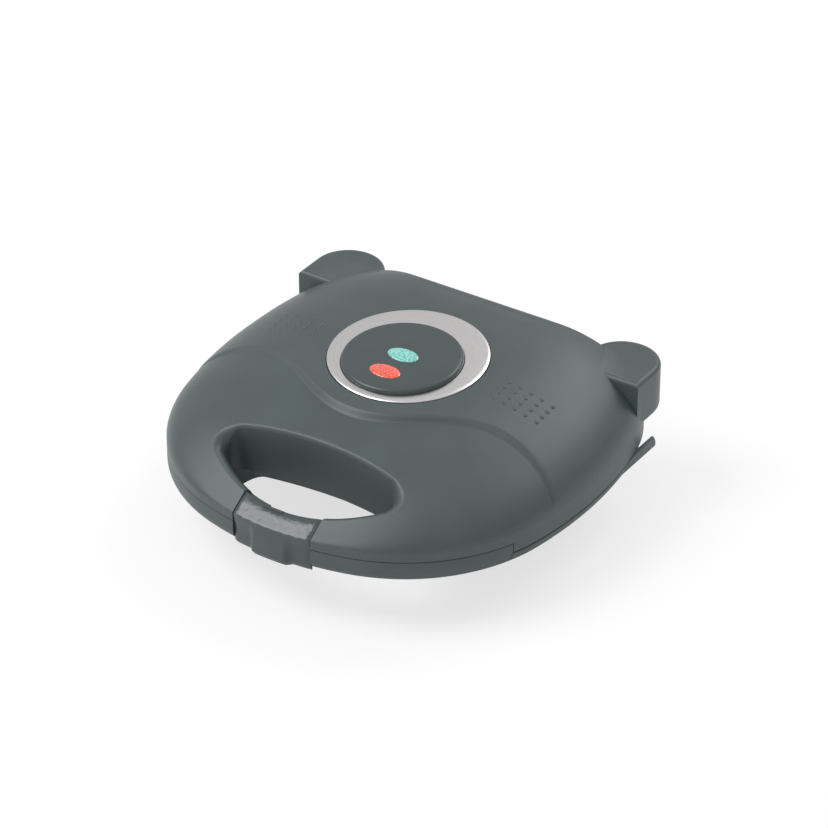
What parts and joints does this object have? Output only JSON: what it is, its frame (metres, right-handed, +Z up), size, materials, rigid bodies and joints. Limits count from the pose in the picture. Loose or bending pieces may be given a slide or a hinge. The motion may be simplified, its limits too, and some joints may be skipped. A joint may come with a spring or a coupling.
{
  "type": "sandwich toaster",
  "caption": "Hinged sandwich toaster with a domed lid, a carrying handle moulded across the front, a latch clip, hinge ears, a trim ring with oval lamps and pocketed cooking plates.",
  "frame": {"origin": "on the table under the middle of the whole appliance", "axes": "+X to the right of a person facing the handle, +Y from the handle towards the hinge, +Z up"},
  "size_m": [0.229, 0.2201, 0.0863],
  "materials": {
    "moulding": "satin moulded plastic, fine even grain",
    "panel_moulding": "smooth moulded plastic",
    "latch_moulding": "polished moulded plastic",
    "rubber": "matt rubber",
    "porcelain": "unglazed ceramic",
    "lamp_carrier": "natural heat-proof plastic",
    "plate_coating": "non-stick coating on cast aluminium",
    "heater_sheath": "heat-tinted steel tube",
    "sheet_steel": "plain zinc-coated sheet",
    "plated_steel": "zinc-plated steel",
    "brushed_trim": "circular brushed metal",
    "green_lens": "clear tinted plastic",
    "red_lens": "clear tinted plastic",
    "lamp_glass": "clear glass",
    "fuse_case": "drawn metal case"
  },
  "bodies": {
    "base": {"lower_housing": "moulding", "rubber_feet": "rubber", "hinge_pins": "plated_steel", "cord_grommet": "rubber", "terminal_block": "porcelain", "lower_plate": "plate_coating", "lower_plate_screws": "plated_steel", "lower_heater": "heater_sheath", "lower_reflector": "sheet_steel", "lower_reflector_screws": "plated_steel", "earth_tag": "sheet_steel"},
    "lid": {"upper_housing": "moulding", "trim_ring": "brushed_trim", "lamp_panel": "panel_moulding", "green_lens": "green_lens", "red_lens": "red_lens", "lamp_holder": "lamp_carrier", "neon_lamps": "lamp_glass", "upper_plate": "plate_coating", "upper_plate_screws": "plated_steel", "upper_heater": "heater_sheath", "upper_reflector": "sheet_steel", "upper_reflector_screws": "plated_steel", "thermostat": "sheet_steel", "thermal_fuse": "fuse_case", "latch_pin": "plated_steel", "latch_spring": "plated_steel"},
    "latch": {"latch_clip": "latch_moulding"}
  },
  "joints": [
    {"name": "lid_hinge", "type": "hinge", "parent": "base", "child": "lid", "pos_m": [0, 0.085, 0.05], "axis": [-1, 0, 0], "range_deg": [0, 95]},
    {"name": "latch_pivot", "type": "hinge", "parent": "lid", "child": "latch", "pos_m": [0, -0.0971, 0.046], "axis": [-1, 0, 0], "range_deg": [0, 25], "stiffness_Nm_per_rad": 0.03, "springref_deg": -17.19}
  ]
}
